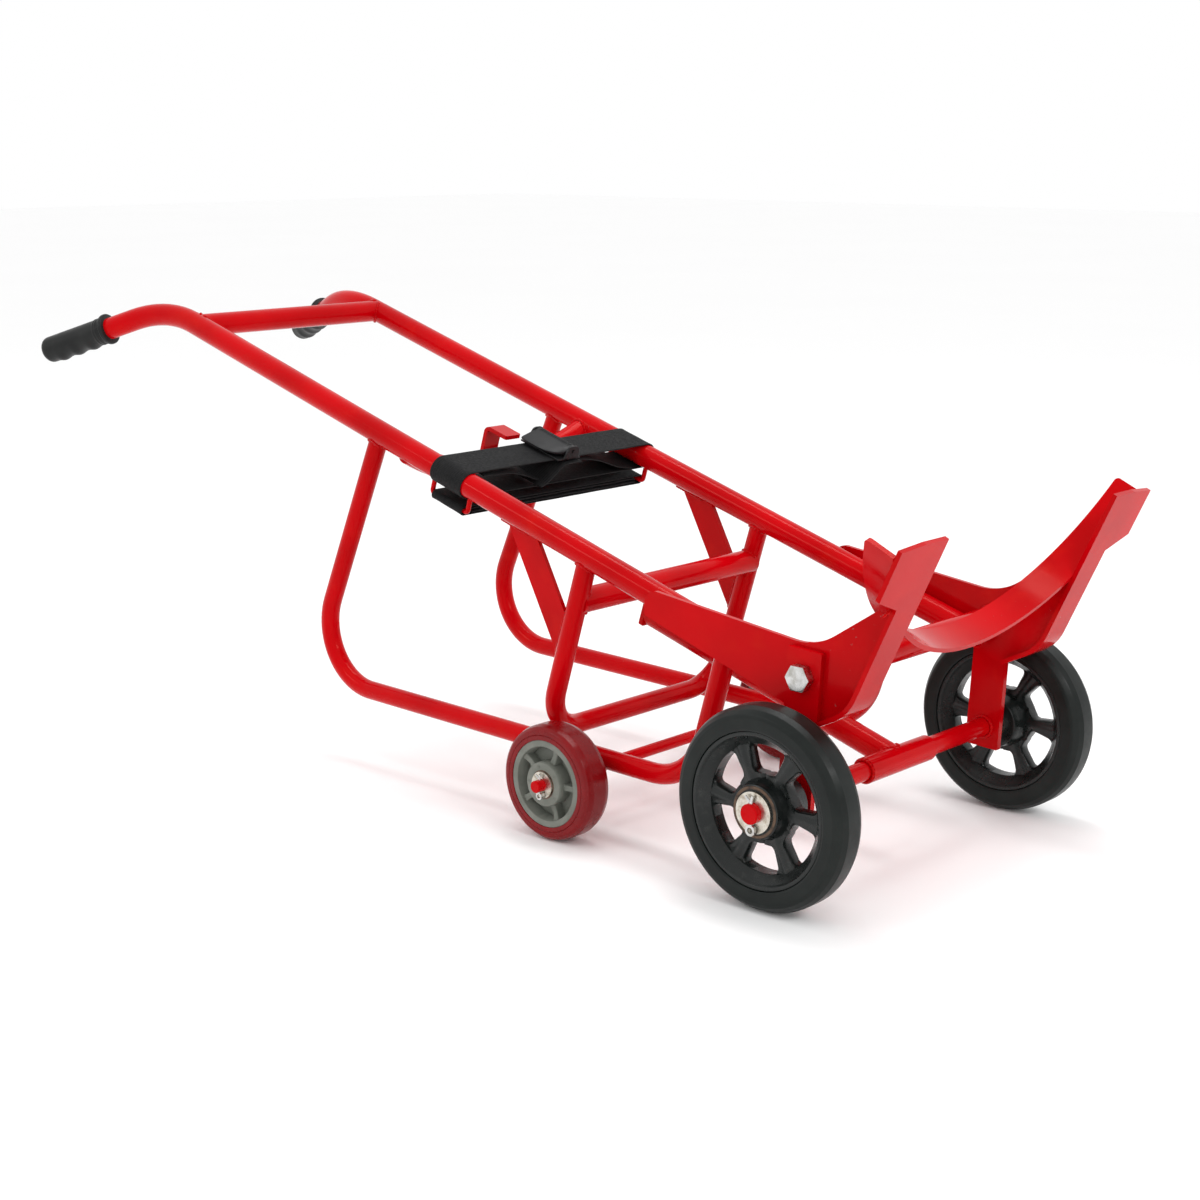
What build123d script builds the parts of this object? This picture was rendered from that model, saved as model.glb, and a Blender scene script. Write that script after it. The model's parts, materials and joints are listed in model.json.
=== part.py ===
from build123d import *
import os
from math import atan2, cos, degrees, radians, sin, tan

# Four-wheel hand truck for steel drums, in millimetres.
# +X runs from the handles to the drum cradle, +Y to the truck's left, +Z up.
# The origin is on the floor, under the middle of the truck's length and width.

# ---------------------------------------------------------------- driving dimensions
FRONT_AXLE_X = 640.5          # front axle, ahead of the origin
RAIL_TILT = 17.0              # slope of the rails, rising towards the handles, degrees
RAIL_HEIGHT = 254.7           # rail centre line above the floor, over the front axle
RAIL_Y = 180.5                # rail centre line to mid-plane
RAIL_R = 33.7 / 2             # 33.7 mm tube: rails and cross tubes
RAIL_WALL = 3.2
LOOP_R = 26.9 / 2             # 26.9 mm tube: side loops and U-frame
LOOP_WALL = 2.6

HANDLE_SLOPE = 19.3           # handles run back from the bend, falling, degrees
HANDLE_FLARE = 19.0           # and spread outwards, degrees
HANDLE_VERTEX = -1302.0       # corner of the bend, along the rail from the front axle
HANDLE_BEND = 180.0           # bend radius
HANDLE_LENGTH = 232.0         # from the corner to the tube's end
GRIP_START = 115.0            # from the corner to the grip's mouth
GRIP_END = 246.0
GRIP_R = 20.5

CROSSBAR_ALONG = -1224.0      # handle crossbar
MID_TUBE_ALONG = -733.0       # mid cross tube: place along the rail
MID_TUBE_DROP = 4.0           # below the rails at its ends, and more in its middle
MID_TUBE_SAG = 47.0
U_ALONG = -378.5              # U-frame, square to the rails
U_DEPTH = 264.0               # rails to the bottom tube, centre to centre
U_BEND = 65.0
U_TUBE_DROP = 66.5            # cross tube between the U-frame's legs
STRUT_WIDTH = 40.0            # flat-bar strut between rail and U-frame
STRUT_THICK = 6.0

FRONT_WHEEL_R = 125.0
FRONT_WHEEL_W = 50.0
FRONT_WHEEL_Y = 262.0
FRONT_IRON_R = 96.5           # cast centre inside the rubber tyre
FRONT_AXLE_R = 12.5
FRONT_AXLE_END = 299.0
REAR_WHEEL_R = 77.0
REAR_WHEEL_W = 45.0
REAR_WHEEL_Y = 244.0
REAR_RIM_R = 58.0             # plastic centre inside the tread
REAR_AXLE_R = 8.0
REAR_AXLE_END = 285.0
REAR_AXLE_AHEAD = -361.0      # rear axle, measured from the front axle

FRONT_HUB_R = 34.0            # hubs: radius, and outer and inner faces to mid-plane
FRONT_HUB_OUTER = 287.0
FRONT_HUB_INNER = 228.0
FRONT_BEARING_R = 19.0
FRONT_WASHER_R = 25.5
FRONT_WASHER = 3.0
FRONT_PIN_Y = 294.0           # split pins
FRONT_PIN_R = 2.2
REAR_HUB_R = 30.0
REAR_HUB_OUTER = 269.0
REAR_HUB_INNER = 219.0
REAR_WASHER_R = 17.5
REAR_WASHER = 2.5
REAR_PIN_Y = 276.0
REAR_PIN_R = 1.6

PLATE_THICK = 6.0             # cradle side plates
AXLE_PLATE_THICK = 8.0
AXLE_PLATE_WIDTH = 50.0
AXLE_PLATE_LEAN = 3.4         # degrees, top forward
AXLE_PLATE_BELOW = 28.0       # below and above the axle
AXLE_PLATE_ABOVE = 184.0
BOLT_AHEAD = 9.0              # cradle bolt and front cross tube, from the front axle
BOLT_HEIGHT = 275.0
BOLT_R = 10.0                 # M20
BOLT_FLATS = 30.0
BOLT_HEAD = 12.5

CRADLE_LEAN = 24.75           # toes and band lean forward from square to the floor
BAND_R = 300.0                # inner radius, for a 585 mm drum
BAND_THICK = 6.0
BAND_START = 37.0             # band's edges, along the cradle's axis
BAND_END = 79.0
BAND_CENTRE = 378.6           # drum axis above the rail plane's origin
BAND_REACH = 273.0            # band's ends to mid-plane
TOE_WIDTH = 44.5
TOE_INNER_Y = 187.0
TOE_THICK = 6.0
TOE_TOP = 266.0
TOE_BEND = 60.0
EAR_REACH = 276.0

STRAP_ALONG = -638.0          # webbing, centre of its width along the rail
STRAP_WIDTH = 62.0
STRAP_THICK = 2.5
BRACKET_ROD_R = 3.5
BRACKET_DROP = 38.0           # bracket bar below the rail's centre line
BUCKLE_WIDTH = 76.0

FIT = 0.05                    # running clearance on a shaft, on the radius
GAP = 0.3                     # clearance between parts that move past each other

# ---------------------------------------------------------------- frames of reference
SIDES = {"left": 1, "right": -1}


def tilted_frame(angle):
    """Frame at the rail line over the front axle: X forward and down, Z up and square to it."""
    turn = radians(angle)
    return Plane(
        origin=(FRONT_AXLE_X, 0, RAIL_HEIGHT),
        x_dir=(cos(turn), 0, -sin(turn)),
        z_dir=(sin(turn), 0, cos(turn)),
    )


RAIL_FRAME = tilted_frame(RAIL_TILT)
CRADLE_FRAME = tilted_frame(CRADLE_LEAN)


def rail_point(along, y, rise=0.0):
    return RAIL_FRAME.from_local_coords(Vector(along, y, rise))


def cradle_point(along, y, rise):
    return CRADLE_FRAME.from_local_coords(Vector(along, y, rise))


def floor_point(ahead, y, height):
    """A point given by its distance ahead of the front axle and its height above the floor."""
    return Vector(FRONT_AXLE_X + ahead, y, height)


def side_plane(y):
    """Upright lengthwise plane: X ahead of the front axle, Y height; extrudes towards -Y."""
    return Plane(origin=(FRONT_AXLE_X, y, 0), x_dir=(1, 0, 0), z_dir=(0, -1, 0))


def cross_plane(frame, along, y=0.0, rise=0.0):
    """Plane square to a frame's X axis: X is the truck's +Y, Y is the frame's up."""
    origin = frame.from_local_coords(Vector(along, y, rise))
    return Plane(origin=origin, x_dir=(0, 1, 0), z_dir=frame.x_dir)


def wheel_plane(x, z, side):
    """Half-plane for turned parts: X outwards along the axle, Y away from its centre."""
    return Plane(origin=(x, 0, z), x_dir=(0, side, 0), z_dir=(side, 0, 0))


REAR_AXLE_X = FRONT_AXLE_X + REAR_AXLE_AHEAD


def keep(builder, node):
    builder.part.label = node
    export_step(builder.part, f"parts/{node}.step")


def round_bar(points, radius, bend=0.0, wall=0.0):
    """Round bar, or tube if it has a wall, along straight runs joined by bends."""
    with BuildPart() as bar:
        with BuildLine():
            if bend:
                route = FilletPolyline(*points, radius=bend)
            else:
                route = Line(*points)
        with BuildSketch(Plane(origin=route @ 0, z_dir=route % 0)):
            Circle(radius)
            if wall:
                Circle(radius - wall, mode=Mode.SUBTRACT)
        sweep()
    return bar.part


# ---------------------------------------------------------------- rails and handles
RAIL_FRONT = 5.0


def handle_axes(sign):
    """Directions along a handle (backwards), level across it, and square to both (upwards)."""
    slope, flare = radians(HANDLE_SLOPE), radians(HANDLE_FLARE)
    along = Vector(-cos(slope) * cos(flare), sign * sin(flare), -sin(slope) * cos(flare))
    across = along.cross(Vector(0, 0, 1)).normalized()
    return along, across, across.cross(along)


def rail_route(sign):
    corner = rail_point(HANDLE_VERTEX, sign * RAIL_Y)
    along = handle_axes(sign)[0]
    return [rail_point(RAIL_FRONT, sign * RAIL_Y), corner, corner + along * HANDLE_LENGTH]


RAIL_BARS = {side: round_bar(rail_route(sign), RAIL_R, HANDLE_BEND) for side, sign in SIDES.items()}
CROSS_TUBE_LINE = [floor_point(BOLT_AHEAD, -RAIL_Y - RAIL_R, BOLT_HEIGHT),
                   floor_point(BOLT_AHEAD, RAIL_Y + RAIL_R, BOLT_HEIGHT)]
CROSS_TUBE_BAR = round_bar(CROSS_TUBE_LINE, RAIL_R)


def make_rail(side, sign):
    with BuildPart() as rail:
        add(round_bar(rail_route(sign), RAIL_R, HANDLE_BEND, RAIL_WALL))
        add(CROSS_TUBE_BAR, mode=Mode.SUBTRACT)
    keep(rail, f"rail_{side}")


def make_grip(side, sign):
    """Rubber sleeve: mouth ring, two small rings, finger ridges underneath, closed round end."""
    corner = rail_point(HANDLE_VERTEX, sign * RAIL_Y)
    along, across, up = handle_axes(sign)
    mouth = [(GRIP_START, GRIP_R + 2), (GRIP_START + 2, GRIP_R + 3.5), (GRIP_START + 5, GRIP_R + 3.5),
             (GRIP_START + 7, GRIP_R + 2), (GRIP_START + 7, GRIP_R)]
    rings = []
    for place in (16, 21):
        rings += [(GRIP_START + place - 1, GRIP_R), (GRIP_START + place, GRIP_R + 0.8),
                  (GRIP_START + place + 1, GRIP_R)]
    dome = [(GRIP_END - 10, GRIP_R), (GRIP_END - 5, GRIP_R - 2.2), (GRIP_END - 1.5, GRIP_R - 6.5),
            (GRIP_END, GRIP_R - 13), (GRIP_END, 0)]
    tube_end = HANDLE_LENGTH + FIT
    bore = RAIL_R + FIT
    with BuildPart() as grip:
        with BuildSketch(Plane(origin=corner, x_dir=along, z_dir=across)):
            with BuildLine():
                Polyline((tube_end, 0), (tube_end, bore), (GRIP_START, bore), *mouth, *rings, *dome, close=True)
            make_face()
        revolve(axis=Axis(corner, along))
        for step in range(3):
            sag = 3.4 - 0.7 * step
            start = corner + along * (GRIP_START + 33 + 30 * step) - up * sag
            with BuildSketch(Plane(origin=start, x_dir=up, z_dir=along)):
                Circle(GRIP_R - 0.5)
                with Locations((sag, 0)):
                    Circle(bore + 1, mode=Mode.SUBTRACT)
            extrude(amount=10)
    keep(grip, f"grip_{side}")


# ---------------------------------------------------------------- tubes across and below the rails
def trimmed_tube(node, points, radius, wall, trims, bend=0.0):
    """A tube whose ends are cut to fit against the bars in trims."""
    with BuildPart() as tube:
        add(round_bar(points, radius, bend, wall))
        for trim in trims:
            add(trim, mode=Mode.SUBTRACT)
    keep(tube, node)


BOTH_RAILS = list(RAIL_BARS.values())
U_LEG_ENDS = {side: [rail_point(U_ALONG, sign * RAIL_Y), rail_point(U_ALONG, sign * RAIL_Y, -U_DEPTH)]
              for side, sign in SIDES.items()}
U_LEG_BARS = {side: round_bar(ends, LOOP_R) for side, ends in U_LEG_ENDS.items()}

LOOP_RISE = 1.1               # side loop's lower tube rises a little towards the handles, degrees
LOOP_BEND = 88.0
REAR_LEG_LEAN = 23.9          # side loop's legs, from upright, degrees
FRONT_LEG_LEAN = 15.7
REAR_CORNER = -927.0          # corners of the side loop, from the front axle
FRONT_CORNER = -182.0


def loop_height(ahead):
    """Height of the side loop's lower tube, which rests on the rear axle."""
    on_axle = REAR_WHEEL_R + REAR_AXLE_R + LOOP_R + FIT
    return on_axle + (REAR_AXLE_AHEAD - ahead) * tan(radians(LOOP_RISE))


def up_to_rail(ahead, lean):
    """Where a leg that starts on the side loop's lower tube meets the rail's centre line."""
    slope = tan(radians(RAIL_TILT))
    start = loop_height(ahead)
    rise = (RAIL_HEIGHT - slope * ahead - start) / (1 + slope * tan(radians(lean)))
    return ahead + rise * tan(radians(lean)), start + rise


def make_side_loop(side, sign):
    y = sign * RAIL_Y
    rear_top, rear_height = up_to_rail(REAR_CORNER, REAR_LEG_LEAN)
    front_top, front_height = up_to_rail(FRONT_CORNER, FRONT_LEG_LEAN)
    points = [
        floor_point(rear_top, y, rear_height),
        floor_point(REAR_CORNER, y, loop_height(REAR_CORNER)),
        floor_point(FRONT_CORNER, y, loop_height(FRONT_CORNER)),
        floor_point(front_top, y, front_height),
    ]
    trimmed_tube(f"side_loop_{side}", points, LOOP_R, LOOP_WALL, [RAIL_BARS[side]], LOOP_BEND)


def make_strut(side, sign):
    """Flat bar at 45 degrees to the rail, from the rail's underside to the U-frame's leg."""
    reach = 133.3
    middle = rail_point(U_ALONG - reach / 2, sign * RAIL_Y, -reach / 2)
    along = (RAIL_FRAME.x_dir - RAIL_FRAME.z_dir).normalized()
    with BuildPart() as strut:
        with BuildSketch(Plane(origin=middle, x_dir=along, z_dir=(0, 1, 0))):
            Rectangle(reach * 2 ** 0.5, STRUT_WIDTH)
        extrude(amount=STRUT_THICK / 2, both=True)
        above_rail = Plane(origin=rail_point(0, 0), z_dir=RAIL_FRAME.z_dir)
        split(bisect_by=above_rail, keep=Keep.BOTTOM)
        split(bisect_by=Plane(origin=rail_point(U_ALONG, 0), z_dir=RAIL_FRAME.x_dir), keep=Keep.BOTTOM)
        add(RAIL_BARS[side], mode=Mode.SUBTRACT)
        add(U_LEG_BARS[side], mode=Mode.SUBTRACT)
    keep(strut, f"strut_{side}")


def sagging_bar(wall=0.0):
    """Middle cross tube between the rails, curved downwards to clear the drum's round side."""
    with BuildPart() as bar:
        with BuildLine():
            route = ThreePointArc(rail_point(MID_TUBE_ALONG, -RAIL_Y, -MID_TUBE_DROP),
                                  rail_point(MID_TUBE_ALONG, 0, -MID_TUBE_DROP - MID_TUBE_SAG),
                                  rail_point(MID_TUBE_ALONG, RAIL_Y, -MID_TUBE_DROP))
        with BuildSketch(Plane(origin=route @ 0, z_dir=route % 0)):
            Circle(RAIL_R)
            if wall:
                Circle(RAIL_R - wall, mode=Mode.SUBTRACT)
        sweep()
    return bar.part


def make_cross_members():
    trimmed_tube("handle_crossbar", [rail_point(CROSSBAR_ALONG, y) for y in (-RAIL_Y, RAIL_Y)],
                 RAIL_R, RAIL_WALL, BOTH_RAILS)
    with BuildPart() as mid_tube:
        add(sagging_bar(RAIL_WALL))
        for rail in BOTH_RAILS:
            add(rail, mode=Mode.SUBTRACT)
    keep(mid_tube, "mid_cross_tube")
    left, right = U_LEG_ENDS["left"], U_LEG_ENDS["right"]
    trimmed_tube("u_frame", [left[0], left[1], right[1], right[0]], LOOP_R, LOOP_WALL, BOTH_RAILS, U_BEND)
    trimmed_tube("u_cross_tube", [rail_point(U_ALONG, y, -U_TUBE_DROP) for y in (-RAIL_Y, RAIL_Y)],
                 RAIL_R, RAIL_WALL, list(U_LEG_BARS.values()))


def make_front_cross_tube():
    """Tube between the cradle plates, closed at each end by a plug tapped for the cradle bolt."""
    plug = 40.0
    length = RAIL_Y + RAIL_R
    with BuildPart() as tube:
        with BuildSketch(side_plane(0)):
            with Locations((BOLT_AHEAD, BOLT_HEIGHT)):
                Circle(RAIL_R)
        extrude(amount=length, both=True)
        with BuildSketch(side_plane(0)):
            with Locations((BOLT_AHEAD, BOLT_HEIGHT)):
                Circle(RAIL_R - RAIL_WALL)
        extrude(amount=length - plug, both=True, mode=Mode.SUBTRACT)
        with BuildSketch(side_plane(0)):
            with Locations((BOLT_AHEAD, BOLT_HEIGHT)):
                Circle(BOLT_R + FIT)
        extrude(amount=length, both=True, mode=Mode.SUBTRACT)
    keep(tube, "front_cross_tube")


# ---------------------------------------------------------------- front axle and keel
SLEEVE_HALF = 68.0
SLEEVE_BAR = round_bar([floor_point(0, -SLEEVE_HALF, FRONT_WHEEL_R), floor_point(0, SLEEVE_HALF, FRONT_WHEEL_R)],
                       RAIL_R)
AXLE_IN_RAIL_FRAME = RAIL_FRAME.to_local_coords(Vector(FRONT_AXLE_X, 0, FRONT_WHEEL_R))
KEEL_REAR = -391.0
KEEL_DROP = -AXLE_IN_RAIL_FRAME.Z


def make_keel():
    """Keel tube in the mid-plane, parallel to the rails, from the axle sleeve back to the U-frame."""
    ends = [rail_point(KEEL_REAR, 0, -KEEL_DROP), rail_point(AXLE_IN_RAIL_FRAME.X, 0, -KEEL_DROP)]
    trimmed_tube("keel_tube", ends, RAIL_R, RAIL_WALL, [SLEEVE_BAR])

    thick = 6.0
    foot = -KEEL_DROP - RAIL_R
    top = -U_TUBE_DROP + 5
    with BuildPart() as end_plate:
        with BuildSketch(cross_plane(RAIL_FRAME, KEEL_REAR, 0, (foot + top) / 2)):
            RectangleRounded(2 * RAIL_R, top - foot, 4)
        extrude(amount=-thick)
        add(round_bar([rail_point(U_ALONG, y, -U_TUBE_DROP) for y in (-60, 60)], RAIL_R), mode=Mode.SUBTRACT)
    keep(end_plate, "keel_end_plate")


def axle_bar(radius, end, x, z, pin_y, pin_r):
    """Solid axle with chamfered ends, drilled upright for a split pin near each end."""
    with BuildPart() as bar:
        with BuildSketch(Plane(origin=(x, 0, z), x_dir=(1, 0, 0), z_dir=(0, -1, 0))):
            Circle(radius)
        extrude(amount=end, both=True)
        chamfer(bar.edges().group_by(Axis.Y)[0] + bar.edges().group_by(Axis.Y)[-1], length=1.2)
        for side in (-1, 1):
            with BuildSketch(Plane(origin=(x, side * pin_y, z))):
                Circle(pin_r + FIT)
            extrude(amount=radius + 1, both=True, mode=Mode.SUBTRACT)
    return bar


def make_front_axle():
    keep(axle_bar(FRONT_AXLE_R, FRONT_AXLE_END, FRONT_AXLE_X, FRONT_WHEEL_R, FRONT_PIN_Y, FRONT_PIN_R),
         "front_axle")
    with BuildPart() as sleeve:
        add(SLEEVE_BAR)
        with BuildSketch(side_plane(0)):
            with Locations((0, FRONT_WHEEL_R)):
                Circle(FRONT_AXLE_R + FIT)
        extrude(amount=SLEEVE_HALF + 1, both=True, mode=Mode.SUBTRACT)
    keep(sleeve, "axle_sleeve")


def make_rear_axle():
    keep(axle_bar(REAR_AXLE_R, REAR_AXLE_END, REAR_AXLE_X, REAR_WHEEL_R, REAR_PIN_Y, REAR_PIN_R), "rear_axle")


# ---------------------------------------------------------------- drum cradle
PLATE_INNER_Y = RAIL_Y + RAIL_R
PLATE_OUTER_Y = PLATE_INNER_Y + PLATE_THICK
AXLE_PLATE_OUTER_Y = PLATE_OUTER_Y + AXLE_PLATE_THICK
TOE_TAIL_RISE = 26.6          # slope of the toe's tail, degrees
TOE_TAIL_AHEAD = 32.5
TOE_CORNER = 30.2             # corner between the toe's front face and tail, above the cradle's origin


def toe_line(depth, tail_ahead):
    """Side view of a toe, at a depth behind its front face: tail's end, corner and top."""
    turn = 90 - CRADLE_LEAN - TOE_TAIL_RISE
    along = BAND_END + TOE_THICK - depth
    corner = cradle_point(along, 0, TOE_CORNER + depth * tan(radians(turn / 2)))
    top = cradle_point(along, 0, TOE_TOP)
    ahead = corner.X - FRONT_AXLE_X
    tail_height = corner.Z - (ahead - tail_ahead) * tan(radians(TOE_TAIL_RISE))
    return [(tail_ahead, tail_height), (ahead, corner.Z), (top.X - FRONT_AXLE_X, top.Z)]


def drum_cylinder(radius):
    """Cylinder about the drum's axis, as long as the cradle."""
    with BuildPart() as cylinder:
        with BuildSketch(cross_plane(CRADLE_FRAME, -40, 0, BAND_CENTRE)):
            Circle(radius)
        extrude(amount=220)
    return cylinder.part


def make_cradle_plate(side, sign):
    """Side plate outboard of the rail: its top dips over the axle, its nose follows the toe."""
    tail, corner, top = toe_line(TOE_THICK, 22.0)
    outline = [
        (-246, 309),
        (-246, 344),
        (20.5, 311.8),
        (153.9, 399.9),
        corner,
        tail,
        (-13, 233),
    ]
    radii = [3, 18, 90, 4, TOE_BEND - TOE_THICK / 2, 2, 20]
    y = sign * (PLATE_INNER_Y + PLATE_THICK / 2)
    with BuildPart() as plate:
        with BuildSketch(side_plane(y)):
            with BuildLine():
                FilletPolyline(*outline, radius=radii, close=True)
            make_face()
            with Locations((BOLT_AHEAD, BOLT_HEIGHT)):
                Circle(BOLT_R + 0.5, mode=Mode.SUBTRACT)
        extrude(amount=PLATE_THICK / 2, both=True)
        add(drum_cylinder(BAND_R + BAND_THICK), mode=Mode.SUBTRACT)
    keep(plate, f"cradle_plate_{side}")


def make_toe(side, sign):
    """Flat bar bent up from under the side plate to hold the drum's bottom rim."""
    tail, corner, top = toe_line(TOE_THICK / 2, TOE_TAIL_AHEAD)
    middle_y = sign * (TOE_INNER_Y + TOE_WIDTH / 2)
    with BuildPart() as toe:
        with BuildSketch(side_plane(middle_y)):
            with BuildLine():
                FilletPolyline(tail, corner, top, radius=TOE_BEND)
            trace(line_width=TOE_THICK)
        extrude(amount=TOE_WIDTH / 2, both=True)
    keep(toe, f"toe_bar_{side}")

    inner, outer = TOE_INNER_Y + TOE_WIDTH, EAR_REACH
    with BuildPart() as ear:
        with BuildSketch(cross_plane(CRADLE_FRAME, BAND_END)):
            with BuildLine():
                Polyline((sign * inner, 178), (sign * outer, 196), (sign * outer, TOE_TOP - 4),
                         (sign * inner, TOE_TOP), close=True)
            make_face()
        extrude(amount=TOE_THICK)
    keep(ear, f"toe_ear_{side}")


def make_band():
    """Curved strip welded behind the toes, rolled to the drum's radius."""
    reach = degrees(atan2(BAND_REACH, (BAND_R ** 2 - BAND_REACH ** 2) ** 0.5))
    with BuildPart() as band:
        with BuildSketch(cross_plane(CRADLE_FRAME, BAND_START, 0, BAND_CENTRE)):
            with BuildLine():
                inner = CenterArc((0, 0), BAND_R, -90 - reach, 2 * reach)
                outer = CenterArc((0, 0), BAND_R + BAND_THICK, -90 - reach, 2 * reach)
                Line(inner @ 0, outer @ 0)
                Line(inner @ 1, outer @ 1)
            make_face()
        extrude(amount=BAND_END - BAND_START)
        rear_corners = (band.edges().filter_by(GeomType.LINE)
                        .filter_by(lambda edge: abs(edge.length - BAND_THICK) < 0.01)
                        .sort_by(Axis(CRADLE_FRAME.origin, CRADLE_FRAME.x_dir))[:2])
        fillet(rear_corners, radius=6)
    keep(band, "cradle_band")


def make_axle_plate(side, sign):
    """Flat bar hung from the cradle bolt that carries the front axle."""
    y = sign * (PLATE_OUTER_Y + AXLE_PLATE_THICK / 2)
    lean = radians(AXLE_PLATE_LEAN)
    up = Vector(sin(lean), 0, cos(lean))
    centre = floor_point(0, y, FRONT_WHEEL_R) + up * (AXLE_PLATE_ABOVE - AXLE_PLATE_BELOW) / 2
    with BuildPart() as plate:
        with BuildSketch(Plane(origin=centre, x_dir=(cos(lean), 0, -sin(lean)), z_dir=(0, -1, 0))):
            RectangleRounded(AXLE_PLATE_WIDTH, AXLE_PLATE_ABOVE + AXLE_PLATE_BELOW, 2)
        extrude(amount=AXLE_PLATE_THICK / 2, both=True)
        with BuildSketch(side_plane(y)):
            with Locations((BOLT_AHEAD, BOLT_HEIGHT)):
                Circle(BOLT_R + 0.5)
            with Locations((0, FRONT_WHEEL_R)):
                Circle(FRONT_AXLE_R + FIT)
        extrude(amount=AXLE_PLATE_THICK, both=True, mode=Mode.SUBTRACT)
    keep(plate, f"axle_plate_{side}")


def make_cradle_bolt(side, sign):
    """M20 hexagon bolt through the axle plate and side plate into the cross tube's plug."""
    shank = 44.0
    washer_face = 0.8
    with BuildPart() as bolt:
        with BuildSketch(side_plane(sign * AXLE_PLATE_OUTER_Y)):
            with Locations((BOLT_AHEAD, BOLT_HEIGHT)):
                Circle(BOLT_R)
        extrude(amount=sign * shank)
        with BuildSketch(side_plane(sign * AXLE_PLATE_OUTER_Y)):
            with Locations((BOLT_AHEAD, BOLT_HEIGHT)):
                Circle(BOLT_FLATS / 2)
        extrude(amount=-sign * washer_face)
        with BuildSketch(side_plane(sign * (AXLE_PLATE_OUTER_Y + washer_face))):
            with Locations((BOLT_AHEAD, BOLT_HEIGHT)):
                RegularPolygon(BOLT_FLATS / 2, 6, major_radius=False)
        extrude(amount=-sign * (BOLT_HEAD - washer_face))
        with BuildSketch(wheel_plane(FRONT_AXLE_X + BOLT_AHEAD, BOLT_HEIGHT, sign)):
            corner_y = AXLE_PLATE_OUTER_Y + BOLT_HEAD
            with BuildLine():
                Polyline((corner_y - 2.2, BOLT_FLATS), (corner_y, BOLT_FLATS / 2 - 0.8),
                         (corner_y, BOLT_FLATS), close=True)
            make_face()
        revolve(axis=Axis((FRONT_AXLE_X + BOLT_AHEAD, 0, BOLT_HEIGHT), (0, 1, 0)), mode=Mode.SUBTRACT)
    keep(bolt, f"cradle_bolt_{side}")


# ---------------------------------------------------------------- wheels
def turned(node, side, x, z, outlines):
    """Part turned about a wheel's axle from closed outlines of (distance out, radius) points."""
    with BuildPart() as piece:
        with BuildSketch(wheel_plane(x, z, SIDES[side])):
            for outline in outlines:
                with BuildLine():
                    Polyline(*outline, close=True)
                make_face()
        revolve(axis=Axis((x, 0, z), (0, 1, 0)))
    keep(piece, f"{node}_{side}")


def box_outline(start, end, inner, outer):
    return [(start, inner), (end, inner), (end, outer), (start, outer)]


def window(inner, outer, half, corner):
    """Opening between two spokes: part of a ring, with rounded corners."""
    with BuildSketch() as opening:
        with BuildLine():
            low = CenterArc((0, 0), inner, -half, 2 * half)
            high = CenterArc((0, 0), outer, -half, 2 * half)
            Line(low @ 0, high @ 0)
            Line(low @ 1, high @ 1)
        make_face()
        fillet(opening.vertices(), radius=corner)
    return opening.sketch


def spoked_centre(node, side, x, z, outlines, count, opening):
    """Wheel centre turned from its outlines, then cut through between its spokes."""
    with BuildPart() as centre:
        with BuildSketch(wheel_plane(x, z, SIDES[side])):
            for outline in outlines:
                with BuildLine():
                    Polyline(*outline, close=True)
                make_face()
        revolve(axis=Axis((x, 0, z), (0, 1, 0)))
        with BuildSketch(Plane(origin=(x, 0, z), x_dir=(0, 0, 1), z_dir=(0, SIDES[side], 0))):
            with PolarLocations(0, count, start_angle=180 / count):
                add(opening)
        extrude(amount=FRONT_AXLE_END, mode=Mode.SUBTRACT)
    keep(centre, f"{node}_{side}")


def make_front_wheel(side):
    x, z, y, half = FRONT_AXLE_X, FRONT_WHEEL_R, FRONT_WHEEL_Y, FRONT_WHEEL_W / 2
    tread = FRONT_WHEEL_R
    turned("front_tyre", side, x, z, [[
        (y - half, FRONT_IRON_R), (y + half, FRONT_IRON_R), (y + half, tread - 10), (y + half - 6, tread - 3.5),
        (y + 13, tread), (y - 13, tread), (y - half + 6, tread - 3.5), (y - half, tread - 10)]])
    rim_outer = [(y - 23, FRONT_IRON_R), (y - 23, 86), (y - 14, 80), (y + 14, 80), (y + 23, 86),
                 (y + 23, FRONT_IRON_R)]
    web = box_outline(y - 11, y + 11, FRONT_HUB_R - 2, 81)
    hub = [(FRONT_HUB_INNER, FRONT_BEARING_R), (FRONT_HUB_OUTER, FRONT_BEARING_R),
           (FRONT_HUB_OUTER, FRONT_HUB_R - 2), (FRONT_HUB_OUTER - 2, FRONT_HUB_R), (y + 11, FRONT_HUB_R + 4),
           (y - 11, FRONT_HUB_R + 4), (FRONT_HUB_INNER + 2, FRONT_HUB_R), (FRONT_HUB_INNER, FRONT_HUB_R - 2)]
    spoked_centre("front_hub", side, x, z, [rim_outer, web, hub], 6, window(44, 79, 17, 8))
    turned("front_bearing", side, x, z, [box_outline(FRONT_HUB_INNER, FRONT_HUB_OUTER,
                                                     FRONT_AXLE_R + FIT, FRONT_BEARING_R)])
    turned("front_spacer", side, x, z, [box_outline(AXLE_PLATE_OUTER_Y, FRONT_HUB_INNER - GAP,
                                                    FRONT_AXLE_R + FIT, FRONT_AXLE_R + 6)])
    washer = FRONT_HUB_OUTER + GAP
    turned("front_washer", side, x, z, [box_outline(washer, washer + FRONT_WASHER,
                                                    FRONT_AXLE_R + FIT, FRONT_WASHER_R)])


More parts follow.
